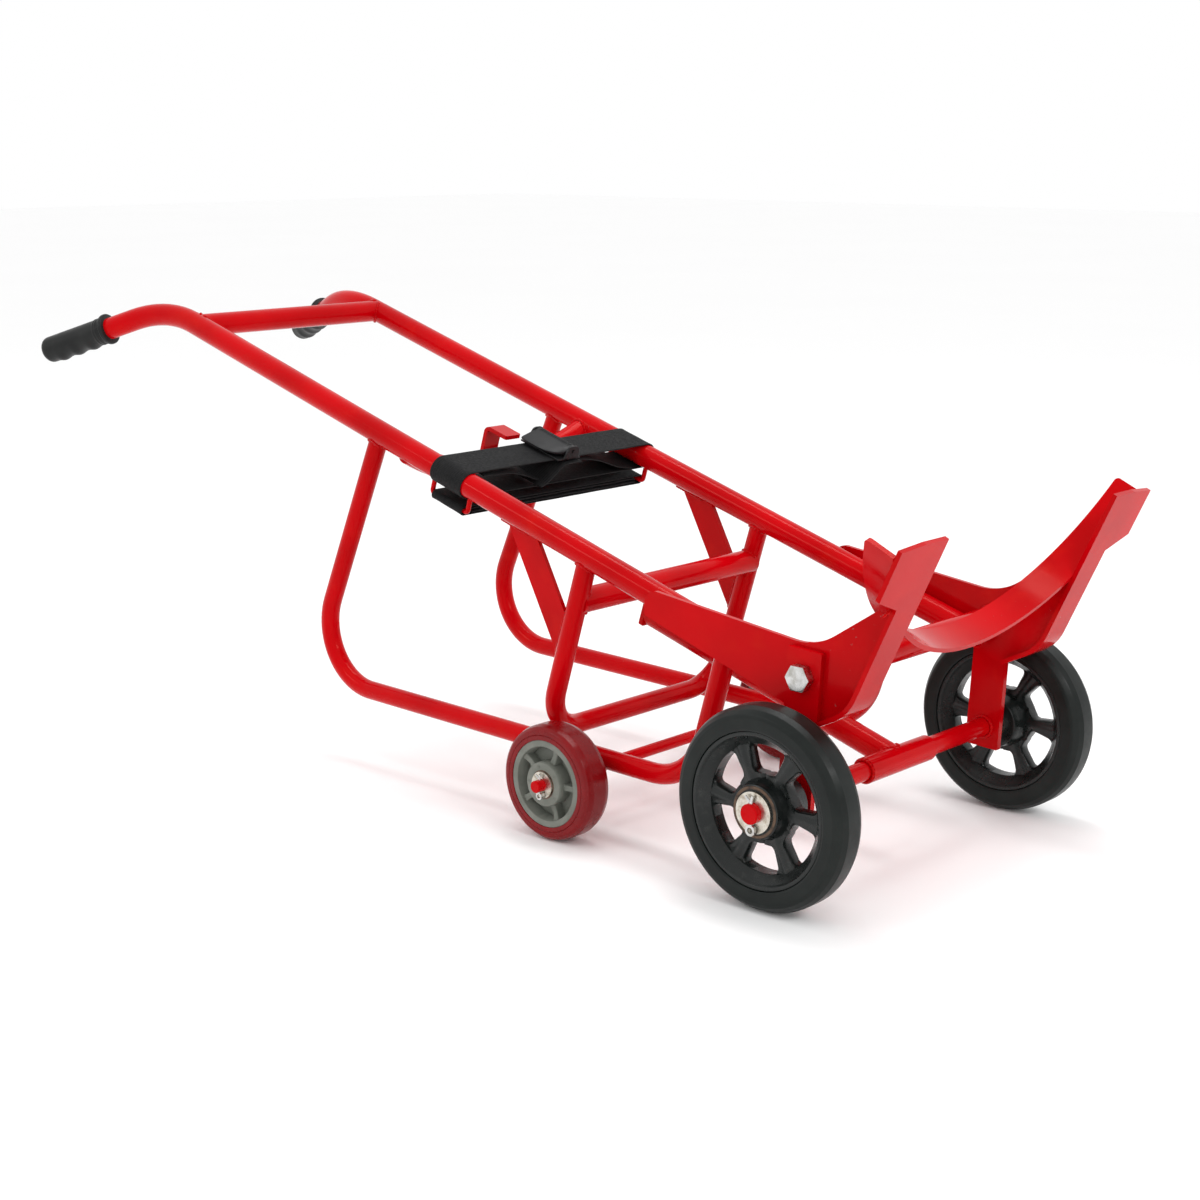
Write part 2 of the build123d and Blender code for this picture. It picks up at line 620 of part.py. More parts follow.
def make_rear_wheel(side):
    x, z, y, half = REAR_AXLE_X, REAR_WHEEL_R, REAR_WHEEL_Y, REAR_WHEEL_W / 2
    tread = REAR_WHEEL_R
    turned("rear_tread", side, x, z, [[
        (y - half, REAR_RIM_R), (y + half, REAR_RIM_R), (y + half, tread - 8), (y + half - 3, tread - 3),
        (y + half - 10, tread), (y - half + 10, tread), (y - half + 3, tread - 3), (y - half, tread - 8)]])
    rim = [(y - 21, REAR_RIM_R), (y - 21, 50), (y - 8, 47), (y + 8, 47), (y + 21, 50), (y + 21, REAR_RIM_R)]
    web = box_outline(y - 9, y + 9, REAR_HUB_R - 2, 48)
    hub = [(REAR_HUB_INNER, REAR_AXLE_R + FIT), (REAR_HUB_OUTER, REAR_AXLE_R + FIT),
           (REAR_HUB_OUTER, REAR_HUB_R - 1), (REAR_HUB_OUTER - 1, REAR_HUB_R),
           (REAR_HUB_INNER + 1, REAR_HUB_R), (REAR_HUB_INNER, REAR_HUB_R - 1)]
    spoked_centre("rear_hub", side, x, z, [rim, web, hub], 5, window(31.5, 46.5, 28, 3))
    turned("rear_spacer", side, x, z, [box_outline(RAIL_Y + LOOP_R, REAR_HUB_INNER - GAP,
                                                   REAR_AXLE_R + FIT, REAR_AXLE_R + 4)])
    washer = REAR_HUB_OUTER + GAP
    turned("rear_washer", side, x, z, [box_outline(washer, washer + REAR_WASHER,
                                                   REAR_AXLE_R + FIT, REAR_WASHER_R)])


def make_split_pin(node, x, y, z, axle_r, wire_r):
    """Split pin upright through the axle: eye below, legs bent apart above."""
    clear = axle_r + 0.5
    eye_r = 2.4 * wire_r
    top = Vector(x, y, z + clear)
    bottom = Vector(x, y, z - clear - wire_r)
    with BuildPart() as pin:
        add(round_bar([bottom, top + Vector(0, 0, wire_r)], wire_r))
        for lean, reach in ((-50, 5.0), (12, 4.2)):
            tip = top + Vector(sin(radians(lean)), 0, cos(radians(lean))) * reach * wire_r
            add(round_bar([top, tip], wire_r * 0.8))
        with BuildSketch(Plane(origin=bottom - Vector(0, 0, eye_r), x_dir=(1, 0, 0), z_dir=(0, 1, 0))):
            Circle(eye_r + wire_r * 0.7)
            Circle(eye_r - wire_r * 0.7, mode=Mode.SUBTRACT)
        extrude(amount=wire_r * 0.8, both=True)
    keep(pin, node)


# ---------------------------------------------------------------- hook, strap brackets, webbing, buckle
def make_hook():
    """Flat-bar hook on the back of the mid cross tube that catches the drum's top rim."""
    width, thick, bend, rise = 30.0, 6.0, 8.0, 8.0
    leg = MID_TUBE_ALONG - RAIL_R - thick / 2 + 0.6
    with BuildPart() as hook:
        with BuildSketch(Plane(origin=rail_point(0, 0), x_dir=RAIL_FRAME.x_dir, z_dir=(0, -1, 0))):
            with BuildLine():
                FilletPolyline((leg, -MID_TUBE_DROP - MID_TUBE_SAG), (leg, rise), (leg + 42, rise), radius=bend)
            trace(line_width=thick)
        extrude(amount=width / 2, both=True)
        add(sagging_bar(), mode=Mode.SUBTRACT)
        lip_end = hook.faces().sort_by(Axis(RAIL_FRAME.origin, RAIL_FRAME.x_dir))[-1]
        fillet(lip_end.edges().filter_by(Axis(RAIL_FRAME.origin, RAIL_FRAME.z_dir)), radius=3)
    keep(hook, "drum_hook")


def make_strap_bracket(side, sign):
    """Bent rod under the rail that the lower webbing passes round."""
    y = sign * RAIL_Y
    half = 36.0
    points = [rail_point(STRAP_ALONG - half, y), rail_point(STRAP_ALONG - half, y, -BRACKET_DROP),
              rail_point(STRAP_ALONG + half, y, -BRACKET_DROP), rail_point(STRAP_ALONG + half, y)]
    trimmed_tube(f"strap_bracket_{side}", points, BRACKET_ROD_R, 0, [RAIL_BARS[side]], 4.8)


def make_straps():
    """Webbing: a loop over and under both rails, a flat loop on the brackets, and the loose tail."""
    inner = RAIL_R + FIT
    start = STRAP_ALONG - STRAP_WIDTH / 2
    with BuildPart() as upper:
        with BuildSketch(cross_plane(RAIL_FRAME, start)):
            SlotCenterToCenter(2 * RAIL_Y, 2 * (inner + STRAP_THICK))
            SlotCenterToCenter(2 * RAIL_Y, 2 * inner, mode=Mode.SUBTRACT)
        extrude(amount=STRAP_WIDTH)
    keep(upper, "strap_upper")

    with BuildPart() as lower:
        with BuildSketch(cross_plane(RAIL_FRAME, start, 0, -BRACKET_DROP)):
            SlotCenterToCenter(2 * RAIL_Y, 2 * (BRACKET_ROD_R + 1.4 * STRAP_THICK))
            with Locations((-RAIL_Y, 0), (RAIL_Y, 0)):
                Circle(BRACKET_ROD_R + FIT, mode=Mode.SUBTRACT)
        extrude(amount=STRAP_WIDTH)
    keep(lower, "strap_lower")

    under = inner - STRAP_THICK / 2
    with BuildPart() as tail:
        with BuildSketch(cross_plane(RAIL_FRAME, start + 13)):
            with BuildLine():
                FilletPolyline((24, under), (-4, under), (-52, 1 - under), radius=12)
            trace(line_width=STRAP_THICK)
        extrude(amount=STRAP_WIDTH)
        split(bisect_by=Plane(origin=rail_point(0, 0, inner), z_dir=RAIL_FRAME.z_dir), keep=Keep.BOTTOM)
    keep(tail, "strap_tail")


def make_buckle():
    """Cam buckle on the upper webbing: base with two ears, a rivet, and the lever between the ears."""
    seat = RAIL_R + FIT + STRAP_THICK
    pin_y, pin_rise, ear_r, ear, pin_r = 8.0, 30.3, 8.0, 3.0, 3.0
    start = STRAP_ALONG - BUCKLE_WIDTH / 2
    with BuildPart() as base:
        with BuildSketch(cross_plane(RAIL_FRAME, start, 0, seat)):
            with Locations((1, 1.25)):
                Rectangle(46, 2.5)
        extrude(amount=BUCKLE_WIDTH)
        for place in (start, start + BUCKLE_WIDTH - ear):
            with BuildSketch(cross_plane(RAIL_FRAME, place)):
                with BuildLine():
                    Polyline((pin_y - 17, seat), (pin_y + 13, seat), (pin_y + ear_r, pin_rise),
                             (pin_y - ear_r, pin_rise), close=True)
                make_face()
                with Locations((pin_y, pin_rise)):
                    Circle(ear_r)
                    Circle(pin_r, mode=Mode.SUBTRACT)
            extrude(amount=ear)
    keep(base, "buckle_frame")

    with BuildPart() as pin:
        with BuildSketch(cross_plane(RAIL_FRAME, start - 1.5, pin_y, pin_rise)):
            Circle(pin_r)
        extrude(amount=BUCKLE_WIDTH + 3)
    keep(pin, "buckle_pin")

    with BuildPart() as lever:
        with BuildSketch(cross_plane(RAIL_FRAME, start + ear + GAP, pin_y, pin_rise)):
            Circle(ear_r)
            with BuildLine():
                Polyline((0, ear_r), (-34, -4), (-36, -7.4), (-5, -6), close=True)
            make_face()
            Circle(pin_r + FIT, mode=Mode.SUBTRACT)
        extrude(amount=BUCKLE_WIDTH - 2 * (ear + GAP))
        fillet(lever.edges().filter_by(lambda edge: edge.length < 6).sort_by(Axis.Y)[:2], radius=2)
    keep(lever, "buckle_lever")


# ---------------------------------------------------------------- every piece of the truck
os.makedirs("parts", exist_ok=True)
make_cross_members()
make_front_cross_tube()
make_keel()
make_front_axle()
make_rear_axle()
make_band()
make_hook()
make_straps()
make_buckle()
for side, sign in SIDES.items():
    make_rail(side, sign)
    make_grip(side, sign)
    make_side_loop(side, sign)
    make_strut(side, sign)
    make_cradle_plate(side, sign)
    make_toe(side, sign)
    make_axle_plate(side, sign)
    make_cradle_bolt(side, sign)
    make_strap_bracket(side, sign)
    make_front_wheel(side)
    make_rear_wheel(side)
    make_split_pin(f"front_split_pin_{side}", FRONT_AXLE_X, sign * FRONT_PIN_Y, FRONT_WHEEL_R,
                   FRONT_AXLE_R, FRONT_PIN_R)
    make_split_pin(f"rear_split_pin_{side}", REAR_AXLE_X, sign * REAR_PIN_Y, REAR_WHEEL_R,
                   REAR_AXLE_R, REAR_PIN_R)
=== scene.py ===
import json
import bpy
from math import cos, exp, pi, radians, sin, sqrt, tan
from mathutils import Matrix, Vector


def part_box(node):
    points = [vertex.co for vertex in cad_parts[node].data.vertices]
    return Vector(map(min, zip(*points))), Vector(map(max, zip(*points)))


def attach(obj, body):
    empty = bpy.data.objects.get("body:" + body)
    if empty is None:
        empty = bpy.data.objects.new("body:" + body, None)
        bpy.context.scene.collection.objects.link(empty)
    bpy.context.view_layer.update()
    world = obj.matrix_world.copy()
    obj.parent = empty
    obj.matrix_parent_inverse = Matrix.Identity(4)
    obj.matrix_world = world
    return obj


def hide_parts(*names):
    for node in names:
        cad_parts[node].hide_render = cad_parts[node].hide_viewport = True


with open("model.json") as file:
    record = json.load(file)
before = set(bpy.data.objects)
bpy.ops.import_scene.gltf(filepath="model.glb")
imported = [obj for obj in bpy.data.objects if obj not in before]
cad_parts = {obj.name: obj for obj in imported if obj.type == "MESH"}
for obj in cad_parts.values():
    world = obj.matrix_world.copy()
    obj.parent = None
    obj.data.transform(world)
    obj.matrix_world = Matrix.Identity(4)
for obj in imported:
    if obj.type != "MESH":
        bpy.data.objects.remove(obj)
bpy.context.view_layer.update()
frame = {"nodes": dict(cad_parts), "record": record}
NODES = frame["nodes"]
MM = 0.001
SIDES = {"left": 1, "right": -1}


def middle(node):
    low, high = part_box(node)
    return (low + high) / 2


FRONT = middle("front_axle")              # axle centres
REAR = middle("rear_axle")
RAIL_Y = abs(middle("side_loop_left").y)
RAIL_R = (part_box("keel_tube")[1].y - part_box("keel_tube")[0].y) / 2
LOOP_R = (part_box("side_loop_left")[1].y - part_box("side_loop_left")[0].y) / 2
RAIL_TILT = radians(17)
CRADLE_LEAN = radians(24.75)
RAIL_HEIGHT = 0.2547                      # rail centre line above the floor, over the front axle


def leaning(angle):
    """Function from millimetres (forward and down, left, up) in a leaning frame to the row frame."""
    ahead = Vector((cos(angle), 0, -sin(angle)))
    up = Vector((sin(angle), 0, cos(angle)))
    origin = Vector((FRONT.x, 0, RAIL_HEIGHT))

    def place(along, y, rise=0.0):
        return origin + (ahead * along + Vector((0, y, 0)) + up * rise) * MM
    return place


rail = leaning(RAIL_TILT)
cradle = leaning(CRADLE_LEAN)


def floor(ahead, y, height):
    return Vector((FRONT.x + ahead * MM, y * MM, height * MM))


# ---------------------------------------------------------------- materials
class Nodes:
    """Small helper for building a material's node tree."""

    def __init__(self, name):
        self.material = bpy.data.materials.new(name)
        self.material.use_nodes = True
        self.tree = self.material.node_tree
        self.shader = self.tree.nodes["Principled BSDF"]
        self.where = self.new("ShaderNodeTexCoord").outputs["Object"]

    def new(self, kind, **settings):
        node = self.tree.nodes.new(kind)
        for name, value in settings.items():
            setattr(node, name, value)
        return node

    def link(self, source, target):
        self.tree.links.new(source, target)

    def set(self, **values):
        for name, value in values.items():
            self.shader.inputs[name.replace("_", " ")].default_value = value

    def noise(self, scale, detail=3.0, rough=0.55):
        node = self.new("ShaderNodeTexNoise")
        node.inputs["Scale"].default_value = scale
        node.inputs["Detail"].default_value = detail
        node.inputs["Roughness"].default_value = rough
        self.link(self.where, node.inputs["Vector"])
        return node.outputs["Fac"]

    def grey(self, value, low, high, a=0.0, b=1.0):
        """Maps value from low..high to the grey level a..b."""
        node = self.new("ShaderNodeValToRGB")
        for element, place, level in zip(node.color_ramp.elements, (low, high), (a, b)):
            element.position = place
            element.color = (level, level, level, 1)
        self.link(value, node.inputs["Fac"])
        return node.outputs["Color"]

    def mix(self, factor, a, b, blend="MIX"):
        node = self.new("ShaderNodeMix", data_type="RGBA", blend_type=blend)
        for socket, value in ((node.inputs[0], factor), (node.inputs[6], a), (node.inputs[7], b)):
            if isinstance(value, bpy.types.NodeSocket):
                self.link(value, socket)
            else:
                socket.default_value = value if isinstance(value, float) else (*value, 1)
        return node.outputs[2]

    def colour(self, socket):
        self.link(socket, self.shader.inputs["Base Color"])

    def roughness(self, socket):
        self.link(socket, self.shader.inputs["Roughness"])

    def bump(self, heights):
        """Bumps in a chain: (height socket, strength, distance in metres)."""
        normal = None
        for height, strength, distance in heights:
            node = self.new("ShaderNodeBump")
            node.inputs["Strength"].default_value = strength
            node.inputs["Distance"].default_value = distance
            self.link(height, node.inputs["Height"])
            if normal:
                self.link(normal, node.inputs["Normal"])
            normal = node.outputs["Normal"]
        self.link(normal, self.shader.inputs["Normal"])


RED = (0.53, 0.0005, 0.0035)
RED_DEEP = (0.42, 0.0004, 0.0025)
RED_WARM = (0.53, 0.0060, 0.0035)


def enamel(name, chips):
    """Gloss enamel: slight waves, warmer thin spots and small chips down to grey steel."""
    m = Nodes(name)
    tone = m.mix(m.grey(m.noise(7, 2), 0.35, 0.65), RED_DEEP, RED)
    warm = m.mix(m.grey(m.noise(23, 4), 0.55, 0.75, 0.0, 0.55), tone, RED_WARM)
    wear = m.noise(160, 5, 0.7)
    patch = m.noise(9, 2)
    both = m.mix(1.0, m.grey(wear, chips, chips + 0.012), m.grey(patch, 0.58, 0.62), "MULTIPLY")
    m.colour(m.mix(both, warm, (0.20, 0.15, 0.14)))
    m.roughness(m.grey(m.noise(40, 3), 0.3, 0.7, 0.10, 0.20))
    m.set(Specular_IOR_Level=0.15, Specular_Tint=(1.0, 0.35, 0.28, 1.0))
    m.bump([(m.noise(55, 2), 0.05, 0.0012), (m.noise(420, 2), 0.02, 0.0003), (both, 0.35, -0.0003)])
    return m.material


def rubber(name, colour, light, rough, grain=900.0, gloss=0.22):
    m = Nodes(name)
    m.set(Specular_IOR_Level=gloss)
    m.colour(m.mix(m.grey(m.noise(26, 5), 0.42, 0.72), colour, light))
    m.roughness(m.grey(m.noise(60, 4), 0.3, 0.7, rough - 0.07, rough + 0.08))
    m.bump([(m.noise(grain, 2), 0.14, 0.0003), (m.noise(45, 4), 0.12, 0.0008)])
    return m.material


def steel(name, colour, stain, rough, metallic=1.0):
    m = Nodes(name)
    m.colour(m.mix(m.grey(m.noise(110, 5), 0.46, 0.70), colour, stain))
    m.roughness(m.grey(m.noise(180, 3), 0.3, 0.7, rough - 0.07, rough + 0.10))
    m.set(Metallic=metallic)
    m.bump([(m.noise(600, 3), 0.12, 0.0003)])
    return m.material


def cast_black():
    """Thick gloss black paint over rough sand-cast iron, with lighter dusty patches spread at random."""
    m = Nodes("cast_centre_paint")
    m.colour(m.mix(m.grey(m.noise(95, 5), 0.56, 0.74), (0.0065, 0.0085, 0.0080), (0.019, 0.021, 0.019)))
    m.roughness(m.grey(m.noise(70, 4), 0.3, 0.7, 0.22, 0.38))
    m.set(Specular_IOR_Level=0.35)
    m.bump([(m.noise(260, 4, 0.65), 0.14, 0.0006), (m.noise(60, 2), 0.20, 0.0012)])
    return m.material


def webbing():
    """Black woven strap: ribs across its width, fine warp lines along it; rib crests painted lighter (dust
    with a painted highlight), grooves painted near-black as painted shade.
    """
    m = Nodes("webbing_weave")
    uv = m.new("ShaderNodeUVMap").outputs["UV"]
    ribs = m.new("ShaderNodeTexWave", wave_type="BANDS", bands_direction="X", wave_profile="SIN")
    warp = m.new("ShaderNodeTexWave", wave_type="BANDS", bands_direction="Y", wave_profile="SIN")
    for wave, pitch in ((ribs, 0.0021), (warp, 0.0042)):
        wave.inputs["Scale"].default_value = 0.3142 / pitch
        wave.inputs["Distortion"].default_value = 0.25
        wave.inputs["Detail"].default_value = 1.0
        m.link(uv, wave.inputs["Vector"])
    rib = m.mix(0.35, ribs.outputs["Color"], warp.outputs["Color"])
    # Weave colour: the rib crests get a lighter grey, which is dust mixed with a painted highlight, and the
    # grooves between ribs get near-black, which is painted shade.
    dust_and_highlight = m.mix(m.grey(m.noise(60, 4), 0.45, 0.75), (0.0085, 0.0085, 0.0092), (0.017, 0.0165, 0.016))
    m.colour(m.mix(m.grey(rib, 0.1, 0.9), (0.0020, 0.0020, 0.0024), dust_and_highlight))
    m.roughness(m.grey(m.noise(300, 2), 0.3, 0.7, 0.60, 0.80))
    m.set(Specular_IOR_Level=0.18)
    m.bump([(rib, 0.8, 0.0007), (m.noise(1500, 2), 0.2, 0.0002)])
    return m.material


MATERIALS = {
    "rail_paint": enamel("rail_enamel", 0.70),
    "loop_paint": enamel("loop_enamel", 0.69),
    "cradle_paint": enamel("cradle_enamel", 0.655),
    "band_paint": enamel("band_enamel", 0.665),
    "axle_plate_paint": enamel("axle_plate_enamel", 0.68),
    "axle_paint": enamel("axle_enamel", 0.67),
    "grip": rubber("grip_rubber", (0.0075, 0.0080, 0.0080), (0.014, 0.0145, 0.014), 0.42),
    "tyre": rubber("tyre_rubber", (0.0040, 0.0062, 0.0055), (0.0085, 0.0115, 0.0100), 0.36),
    "tread": rubber("tread_polyurethane", (0.17, 0.0012, 0.0025), (0.22, 0.0025, 0.0045), 0.25, 500.0),
    "rear_centre": rubber("rear_centre_nylon", (0.150, 0.158, 0.135), (0.215, 0.222, 0.195), 0.45, 350.0),
    "cast_centre": cast_black(),
    "bearing": steel("bearing_steel", (0.115, 0.070, 0.045), (0.03, 0.022, 0.018), 0.42, 0.6),
    "zinc": steel("zinc_plate", (0.60, 0.60, 0.59), (0.40, 0.39, 0.36), 0.26),
    "washer_steel": steel("washer_plate", (0.62, 0.59, 0.52), (0.34, 0.29, 0.22), 0.30),
    "webbing": webbing(),
    "buckle": rubber("buckle_plastic", (0.0070, 0.0070, 0.0075), (0.012, 0.012, 0.0125), 0.34, 400.0),
    "buckle_lever": rubber("lever_plastic", (0.0085, 0.0085, 0.0092), (0.014, 0.014, 0.015), 0.36, 400.0),
}


# ---------------------------------------------------------------- mesh helpers
def piece(name, verts, faces, body, slot, sharp=38, uvs=None, replaces=(), bevel=0.0):
    mesh = bpy.data.meshes.new(name)
    mesh.from_pydata([tuple(v) for v in verts], [], faces)
    mesh.update()
    mesh.shade_smooth()
    mesh.set_sharp_from_angle(angle=radians(sharp))
    if uvs:
        layer = mesh.uv_layers.new(name="UVMap")
        for loop in mesh.loops:
            layer.data[loop.index].uv = uvs[loop.vertex_index]
    obj = bpy.data.objects.new(name, mesh)
    bpy.context.scene.collection.objects.link(obj)
    mesh.materials.append(MATERIALS[slot])
    if bevel:
        add_bevel(obj, bevel)
    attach(obj, body)
    if replaces:
        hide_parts(*replaces)
    return obj


def add_bevel(obj, width, segments=3):
    modifier = obj.modifiers.new("bevel", "BEVEL")
    modifier.width = width
    modifier.segments = segments
    modifier.limit_method = "ANGLE"
    modifier.angle_limit = radians(35)
    modifier.harden_normals = True


def loft(rings, closed=False):
    """Vertices and faces through rings of equal length. closed joins the last ring to the first."""
    count = len(rings[0])
    verts = [v for ring in rings for v in ring]
    faces = []
    for i in range(len(rings) if closed else len(rings) - 1):
        a, b = i * count, (i + 1) % len(rings) * count
        for j in range(count):
            k = (j + 1) % count
            faces.append((a + j, a + k, b + k, b + j))
    if not closed:
        faces.append(tuple(range(count - 1, -1, -1)))
        last = (len(rings) - 1) * count
        faces.append(tuple(last + j for j in range(count)))
    return verts, faces


def rounded(points, radii, steps):
    """Closed 2-D outline with its corners rounded; radii is one number or one for each corner."""
    result = []
    count = len(points)
    if isinstance(radii, (int, float)):
        radii = [radii] * count
    for i, radius in enumerate(radii):
        here = Vector(points[i])
        before = Vector(points[i - 1]) - here
        after = Vector(points[(i + 1) % count]) - here
        if radius <= 0:
            result.append(here)
            continue
        half = before.angle(after) / 2
        cut = min(radius / tan(half), before.length * 0.49, after.length * 0.49)
        radius = cut * tan(half)
        start = here + before.normalized() * cut
        end = here + after.normalized() * cut
        centre = here + (before.normalized() + after.normalized()).normalized() * (radius / sin(half))
        a, b = start - centre, end - centre
        for step in range(steps + 1):
            t = step / steps
            arm = a * (1 - t) + b * t
            result.append(centre + arm.normalized() * radius)
    return result


def lathe(name, outline, centre, side, body, slot, segments=96, **options):
    """Ring turned about a wheel's axle from a closed outline of (distance out, radius), in millimetres."""
    rings = []
    for i in range(segments):
        turn = 2 * pi * i / segments
        rings.append([Vector((centre.x + r * MM * sin(turn),
                              SIDES[side] * y * MM,
                              centre.z + r * MM * cos(turn))) for y, r in outline])
    if SIDES[side] < 0:
        rings = [ring[::-1] for ring in rings]
    verts, faces = loft(rings, closed=True)
    return piece(f"{name}_{side}", verts, faces, body, slot, **options)


def tube(name, points, radius, body, slot, sides=8, closed=False, ripple=0.0, pitch=5.0, **options):
    """Round bar along points (metres), radius in millimetres. ripple swells it at a pitch, for welds."""
    rings = []
    count = len(points)
    run = 0.0
    normal = None
    for i, point in enumerate(points):
        before = points[i - 1] if i or closed else point
        after = points[(i + 1) % count] if i < count - 1 or closed else point
        along = (after - before).normalized()
        if normal is None:
            normal = along.orthogonal().normalized()
        normal = (normal - along * normal.dot(along)).normalized()
        other = along.cross(normal)
        if i:
            run += (point - points[i - 1]).length / MM
        size = radius * (1 + ripple * sin(2 * pi * run / pitch) + 0.35 * ripple * sin(run * 0.37 + 1.3))
        if ripple and not closed:
            size *= min(1.0, 0.35 + 0.65 * min(i, count - 1 - i) / 2)
        rings.append([point + (normal * cos(a) + other * sin(a)) * size * MM
                      for a in (2 * pi * k / sides for k in range(sides))])
    verts, faces = loft(rings, closed)
    return piece(name, verts, faces, body, slot, **options)


def resample(points, spacing):
    """Points along a polyline at an even spacing, in metres."""
    result = [points[0]]
    for a, b in zip(points, points[1:]):
        steps = max(1, round((b - a).length / spacing))
        result += [a.lerp(b, (k + 1) / steps) for k in range(steps)]
    return result


# ---------------------------------------------------------------- CAD nodes that stay: materials, edges
SLOT_OF = {entry["node"]: entry["material_slot"] for entry in frame["record"]["subparts"]}
for node, obj in NODES.items():
    obj.data.materials.clear()
    obj.data.materials.append(MATERIALS[SLOT_OF[node]])
    obj.data.shade_smooth()
    obj.data.set_sharp_from_angle(angle=radians(32))

PLATES = {"cradle_plate": 0.8, "toe_bar": 0.9, "toe_ear": 0.9, "axle_plate": 1.0, "strut": 0.8}
for node, width in PLATES.items():
    for side in SIDES:
        add_bevel(NODES[f"{node}_{side}"], width * MM)
for node in ("cradle_band", "keel_end_plate", "drum_hook"):
    add_bevel(NODES[node], 0.8 * MM)
for side in SIDES:
    add_bevel(NODES[f"cradle_bolt_{side}"], 0.4 * MM, 2)


# ---------------------------------------------------------------- weld beads
def meeting(start, along, radius, other, other_along, other_radius, count=40):
    """Curve where a tube that runs along its axis first meets another tube; rays that miss are left out."""
    along, other_along = along.normalized(), other_along.normalized()
    u = along.orthogonal().normalized()
    v = along.cross(u)
    points, gap = [], 0
    for i in range(count):
        angle = 2 * pi * i / count
        ray = start + (u * cos(angle) + v * sin(angle)) * radius
        flat = ray - other
        flat -= other_along * flat.dot(other_along)
        slope = along - other_along * along.dot(other_along)
        a, b, c = slope.dot(slope), flat.dot(slope), flat.dot(flat) - other_radius ** 2
        if b * b - a * c > 0:
            points.append(ray + along * (-b - sqrt(b * b - a * c)) / a)
        elif points and not gap:
            gap = len(points)
    whole = len(points) == count
    if gap:
        points = points[gap:] + points[:gap]
    return points, whole


WELD_RADIUS = 2.3
WELD_SPACING = 1.25 * MM
WELD_NUMBERS = iter(range(1, 100))


def bead(points, closed, radius=WELD_RADIUS):
    path = resample(points + points[:1] if closed else points, WELD_SPACING)
    if closed:
        path = path[:-1]
    tube(f"weld_{next(WELD_NUMBERS):02d}", path, radius, "frame", "rail_paint", 8, closed,
         ripple=0.17, pitch=4.6, sharp=80)


def joint_bead(start, along, radius, other, other_along, other_radius):
    points, whole = meeting(start, along, radius, other, other_along, other_radius)
    if len(points) > 5:
        bead(points, whole)


def ring_bead(centre, radius, size=WELD_RADIUS):
    """Bead round a bar that lies along Y; centre in metres, radii in millimetres."""
    turns = [2 * pi * k / 40 for k in range(40)]
    bead([centre + Vector((sin(a), 0, cos(a))) * radius * MM for a in turns], True, size)


RAIL_DIR = rail(1, 0) - rail(0, 0)
RAIL_UP = rail(0, 0, 1) - rail(0, 0)
LOOP_RISE = tan(radians(1.1))             # the side loop's lower tube climbs slightly towards the front
CROSSBAR_ALONG = -1224                    # places along the rails, in millimetres
MID_TUBE_ALONG = -733
U_LEG_ALONG = -378.5


def loop_height(ahead):
    return REAR.z / MM + 8.05 + LOOP_R / MM + ((REAR.x - FRONT.x) / MM - ahead) * LOOP_RISE


for sign in SIDES.values():
    y = sign * RAIL_Y / MM
    out = Vector((0, sign, 0))
    on_rail = rail(0, y)
    joint_bead(rail(CROSSBAR_ALONG, 0), out, RAIL_R, on_rail, RAIL_DIR, RAIL_R)
    joint_bead(rail(MID_TUBE_ALONG, y - 40 * sign, -25.2), out * 0.883 + RAIL_UP / MM * 0.469, RAIL_R,
               on_rail, RAIL_DIR, RAIL_R)
    joint_bead(rail(U_LEG_ALONG, y, -150), RAIL_UP, LOOP_R, on_rail, RAIL_DIR, RAIL_R)
    joint_bead(rail(U_LEG_ALONG, 0, -66.5), out, RAIL_R, rail(U_LEG_ALONG, y), RAIL_UP, LOOP_R)
    for ahead, lean in ((-927, 23.9), (-182, 15.7)):
        foot = floor(ahead, y, loop_height(ahead))
        upright = Vector((sin(radians(lean)), 0, cos(radians(lean))))
        joint_bead(foot, upright, LOOP_R, on_rail, RAIL_DIR, RAIL_R)
    ring_bead(Vector((FRONT.x, sign * 0.0686, FRONT.z)), 14.0)
    ring_bead(Vector((FRONT.x, sign * 0.2024, FRONT.z)), 14.0, 2.6)
    ring_bead(floor(9, sign * 196.6, 275), 17.8, 2.0)
    # strut to rail and to the U-frame's leg, both faces
    for face in (-3.4, 3.4):
        bead([rail(-537, y + face, -17.5), rail(-484, y + face, -17.5)], False, 1.8)
        bead([rail(-392.6, y + face, -100), rail(-392.6, y + face, -148)], False, 1.8)
    # cradle plate to rail, toe to plate, toe to band, ear to toe
    bead([floor(-244, sign * 197.6, 330), floor(-150, sign * 197.6, 301)], False, 1.6)
    bead([cradle(78.6, sign * 204.4, n) for n in (40, 60, 80, 100, 120)], False, 1.9)
    for inner in (1, -1):
        edge = 187 if inner > 0 else 231.3
        rise = 378.6 - sqrt(306.6 ** 2 - edge ** 2)
        bead([cradle(78.4, sign * (edge + k), rise + 0.7 * inner * k - 2) for k in (0, 6, 12)], False, 2.0)
    bead([cradle(78.8, sign * 231.5, n) for n in (196, 210, 225, 240, 255)], False, 1.8)
    # rear axle to the loop's lower tube
    for ahead in (-7.5, 7.5):
        bead([Vector((REAR.x + ahead * MM, sign * (RAIL_Y + k * MM), REAR.z + (8.4 - abs(k) * 0.12) * MM))
              for k in (-8, -4, 0, 4, 8)], False, 2.4)

joint_bead(rail(-200, 0, -124), RAIL_DIR, RAIL_R, FRONT, Vector((0, 1, 0)), RAIL_R)
for y in (-15.5, 15.5):
    bead([rail(-750.2, y, n) for n in (-50.5, -47, -43.5)], False, 1.8)
bead([rail(-397.4, y, -82.5) for y in (-16, -8, 0, 8, 16)], False, 2.0)
bead([rail(-389.6, y, -107) for y in (-14, -7, 0, 7, 14)], False, 2.0)


